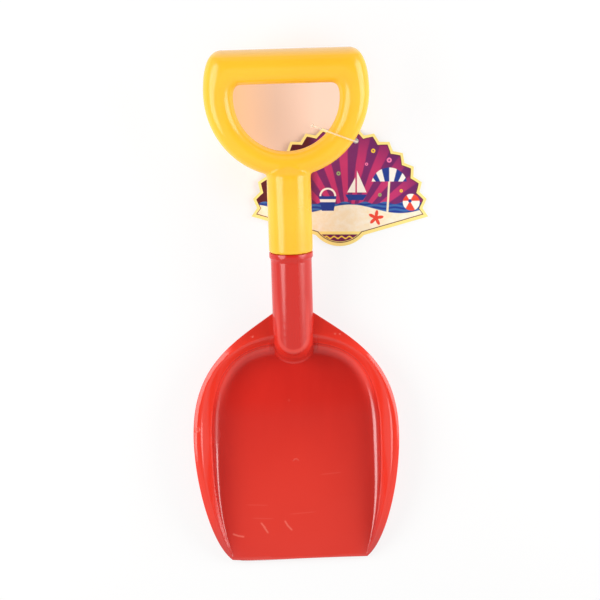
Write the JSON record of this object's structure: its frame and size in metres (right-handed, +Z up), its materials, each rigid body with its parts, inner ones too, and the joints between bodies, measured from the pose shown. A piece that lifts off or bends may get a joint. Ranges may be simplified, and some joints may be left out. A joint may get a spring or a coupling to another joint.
{
  "type": "sand shovel",
  "caption": "Toy sand shovel: dished blade with sloping sides and a rolled rim, moulded socket, hollow D-grip pressed in, and a card tag hanging on a loop.",
  "frame": {"origin": "under the blade's flat floor, on the shovel's centre plane, level with the widest place of the blade", "axes": "+Y towards the grip along the shovel's length, +Z up out of the blade's hollow, +X to the side on which the tag hangs"},
  "size_m": [0.1793, 0.3743, 0.0729],
  "materials": {
    "blade_plastic": "gloss",
    "grip_plastic": "gloss",
    "loop_plastic": "clear",
    "card": "printed card with a thin varnish"
  },
  "bodies": {
    "shovel": {"scoop": "blade_plastic", "grip_handle": "grip_plastic"},
    "loop": {"tag_loop": "loop_plastic"},
    "tag": {"hang_tag": "card"}
  },
  "joints": [
    {"name": "loop_swing", "type": "hinge", "parent": "shovel", "child": "loop", "pos_m": [0.03858, 0.21709, 0.04972], "axis": [-0.6225, -0.7655, -0.1627], "range_deg": [-40, 60]},
    {"name": "tag_swing", "type": "hinge", "parent": "loop", "child": "tag", "pos_m": [0.05087, 0.2179, 0.00175], "axis": [0, 0, 1], "range_deg": [-8, 110]}
  ]
}
